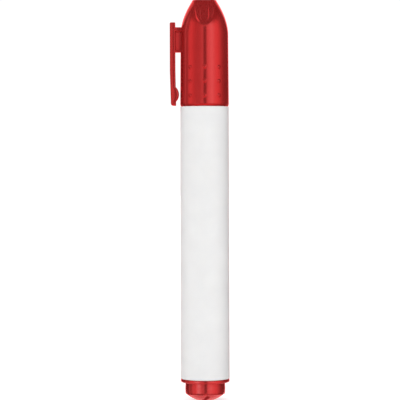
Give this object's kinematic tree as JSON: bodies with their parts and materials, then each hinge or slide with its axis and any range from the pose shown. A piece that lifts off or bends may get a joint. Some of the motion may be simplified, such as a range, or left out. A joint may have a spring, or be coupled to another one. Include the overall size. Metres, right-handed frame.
{
  "type": "felt tip marker",
  "caption": "Felt tip marker with a glossy snap cap and moulded pocket clip, a plain round barrel and a domed end plug that carries the cap while writing.",
  "frame": {"origin": "centre of the small flat foot on the end plug's dome, on the marker's axis", "axes": "+Z along the marker's axis from the end plug to the cap's flat tip, -X towards the pocket clip, the cap's two thumb flats facing -Y and +Y"},
  "size_m": [0.0197, 0.0166, 0.1333],
  "materials": {
    "white_plastic": "satin moulded polypropylene",
    "red_plastic": "glossy translucent moulded plastic",
    "liner_plastic": "soft natural polyethylene",
    "inked_felt": "pressed polyester felt stained with ink",
    "inked_fibre": "bundled fibre soaked with ink",
    "clear_film": "thin clear film"
  },
  "bodies": {
    "barrel": {"barrel": "white_plastic", "nib_holder": "white_plastic", "nib": "inked_felt", "ink_reservoir": "inked_fibre", "reservoir_wrap": "clear_film", "end_plug": "red_plastic"},
    "cap": {"cap": "red_plastic", "inner_cap": "liner_plastic"},
    "clip": {"clip_arm": "red_plastic"}
  },
  "joints": [
    {"name": "cap_pull", "type": "slide", "parent": "barrel", "child": "cap", "axis": [0, 0, 1], "range_m": [0, 0.035]},
    {"name": "clip_flex", "type": "hinge", "parent": "cap", "child": "clip", "pos_m": [-0.01065, 0, 0.1159], "axis": [0, 1, 0], "range_deg": [0, 6], "stiffness_Nm_per_rad": 0.5}
  ]
}
